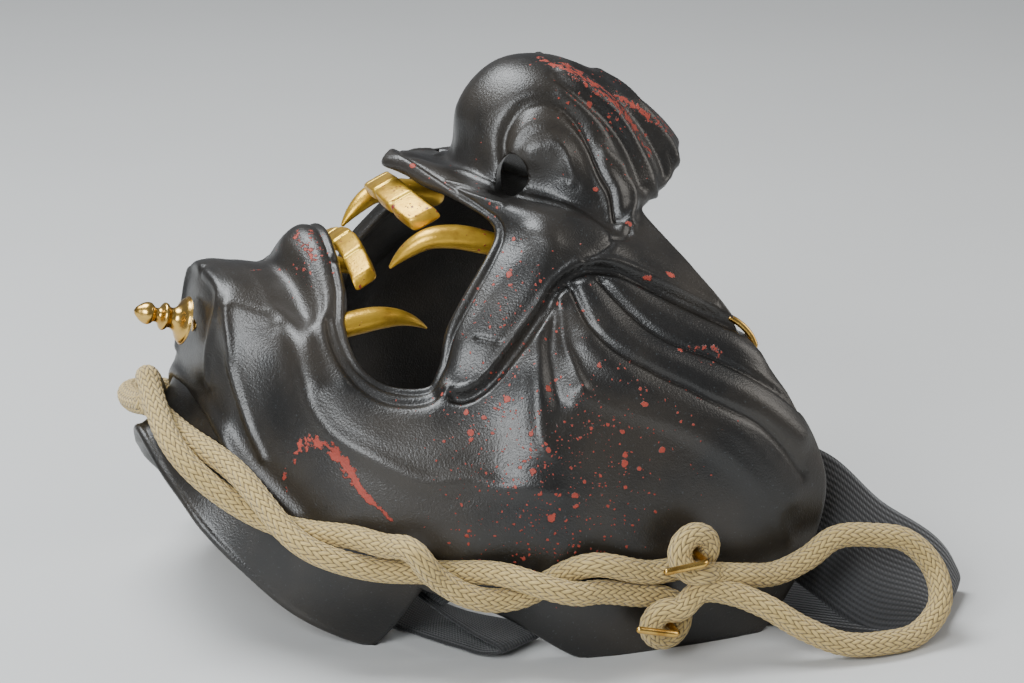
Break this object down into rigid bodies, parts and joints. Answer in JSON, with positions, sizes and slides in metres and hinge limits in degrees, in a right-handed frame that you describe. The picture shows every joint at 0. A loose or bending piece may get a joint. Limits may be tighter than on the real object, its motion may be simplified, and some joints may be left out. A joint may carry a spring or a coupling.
{
  "type": "samurai face guard",
  "caption": "Snarling half mask of a samurai's armour, with nose, open mouth with gilt teeth and tusks, throat flange, twisted tan cord, chin peg and elastic straps.",
  "frame": {"origin": "middle of the footprint of the guard, its cord left out, at the height of the cheek rims that it rests on", "axes": "+X from the chin to the brow, +Y to the wearer's right, +Z out of the face; the guard lies on its back, face up"},
  "size_m": [0.2097, 0.198, 0.1398],
  "materials": {
    "black_lacquer": "satin black lacquer with a fine orange peel and dry red spatter",
    "gold_paint": "dull gold paint",
    "brass": "bright turned brass",
    "tan_cord": "braided cord",
    "black_elastic": "ribbed elastic webbing"
  },
  "bodies": {
    "root": {"face_shell": "black_lacquer", "upper_teeth": "gold_paint", "lower_teeth": "gold_paint", "upper_tusk_left": "gold_paint", "upper_tusk_right": "gold_paint", "lower_tusk_left": "gold_paint", "lower_tusk_right": "gold_paint", "jaw_pin_upper_left": "brass", "jaw_pin_upper_right": "brass", "jaw_pin_lower_left": "brass", "jaw_pin_lower_right": "brass", "cheek_hook_left": "brass", "cheek_hook_right": "brass", "chin_peg": "brass", "cord": "tan_cord", "head_strap": "black_elastic", "neck_strap": "black_elastic"}
  },
  "joints": []
}
